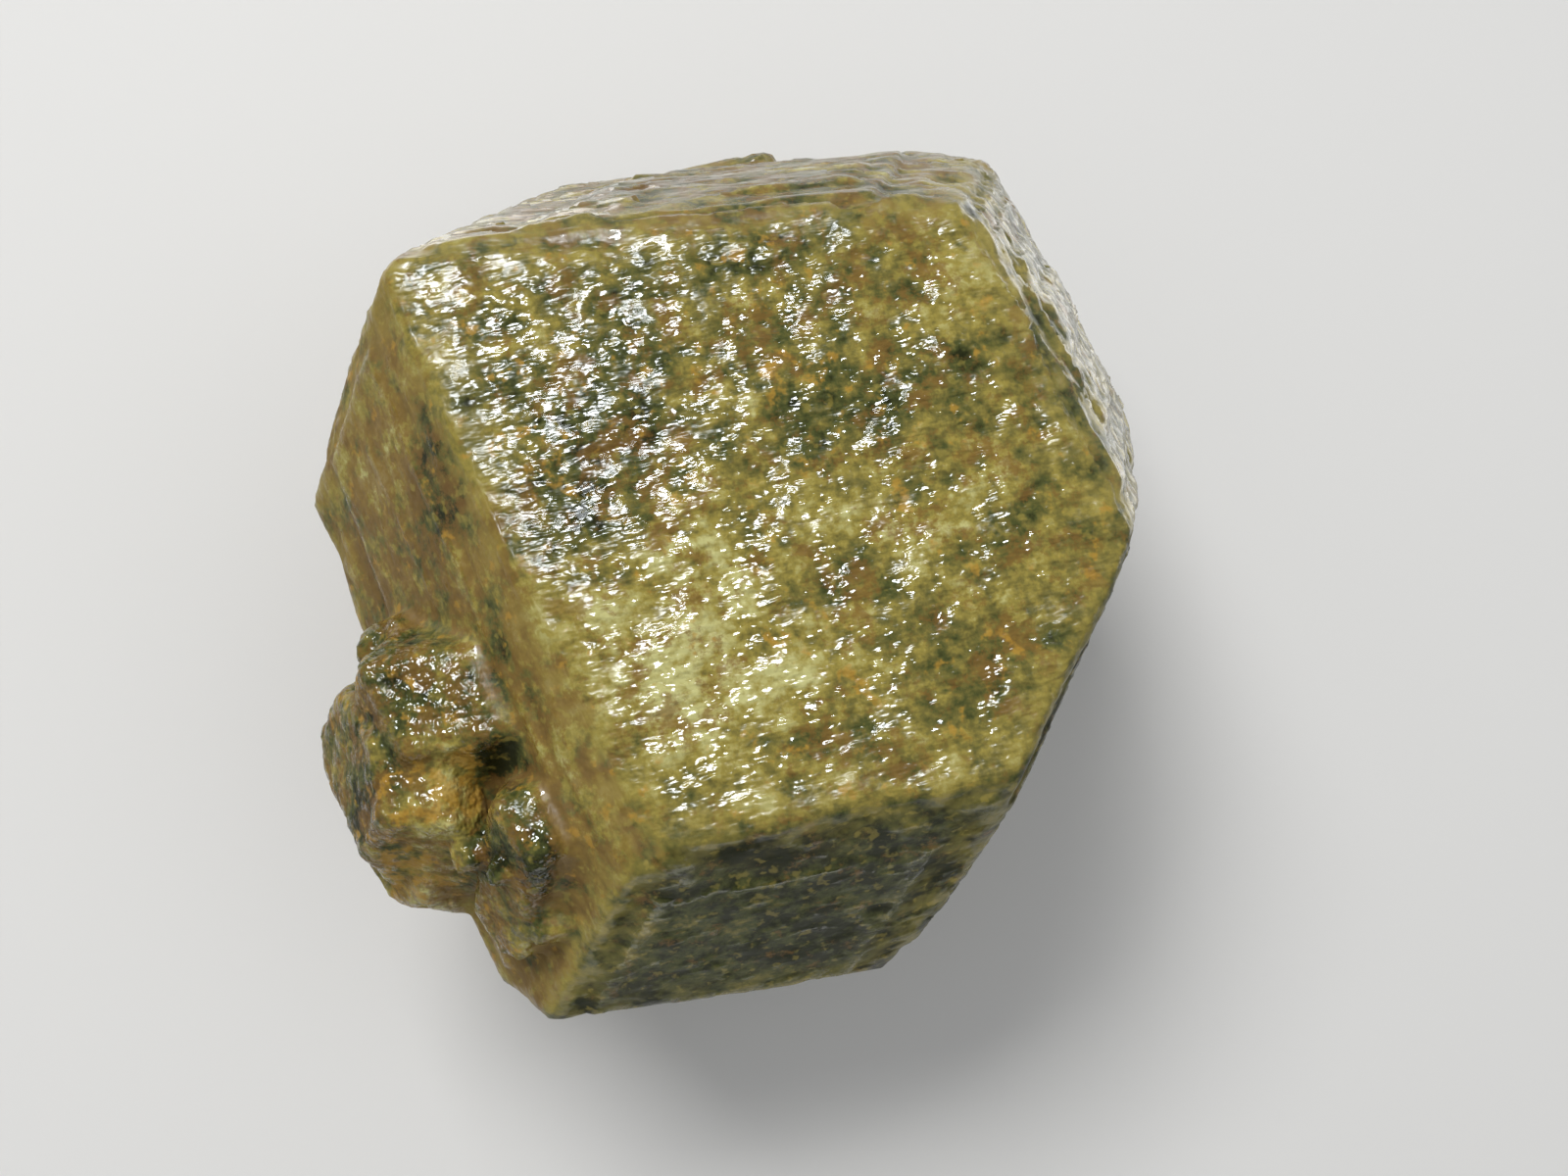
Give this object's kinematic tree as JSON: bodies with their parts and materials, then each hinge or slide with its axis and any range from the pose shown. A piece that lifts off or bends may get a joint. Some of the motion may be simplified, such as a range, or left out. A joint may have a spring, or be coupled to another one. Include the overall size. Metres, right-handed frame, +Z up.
{
  "type": "garnet crystal specimen",
  "caption": "Blocky rhombic dodecahedral garnet crystal with rough ledged faces and a group of small intergrown crystals on one side.",
  "frame": {"origin": "under the middle of the bounding box, on the crystal face that it lies on", "axes": "+Z up, along the normal of the level top face; +X along the top face's north edge; +Y towards that edge"},
  "size_m": [0.065, 0.0686, 0.0495],
  "materials": {
    "garnet": "rough natural crystal faces, wet and glossy, mottled olive, brown and green-black"
  },
  "bodies": {
    "root": {"garnet_crystal": "garnet"}
  },
  "joints": []
}
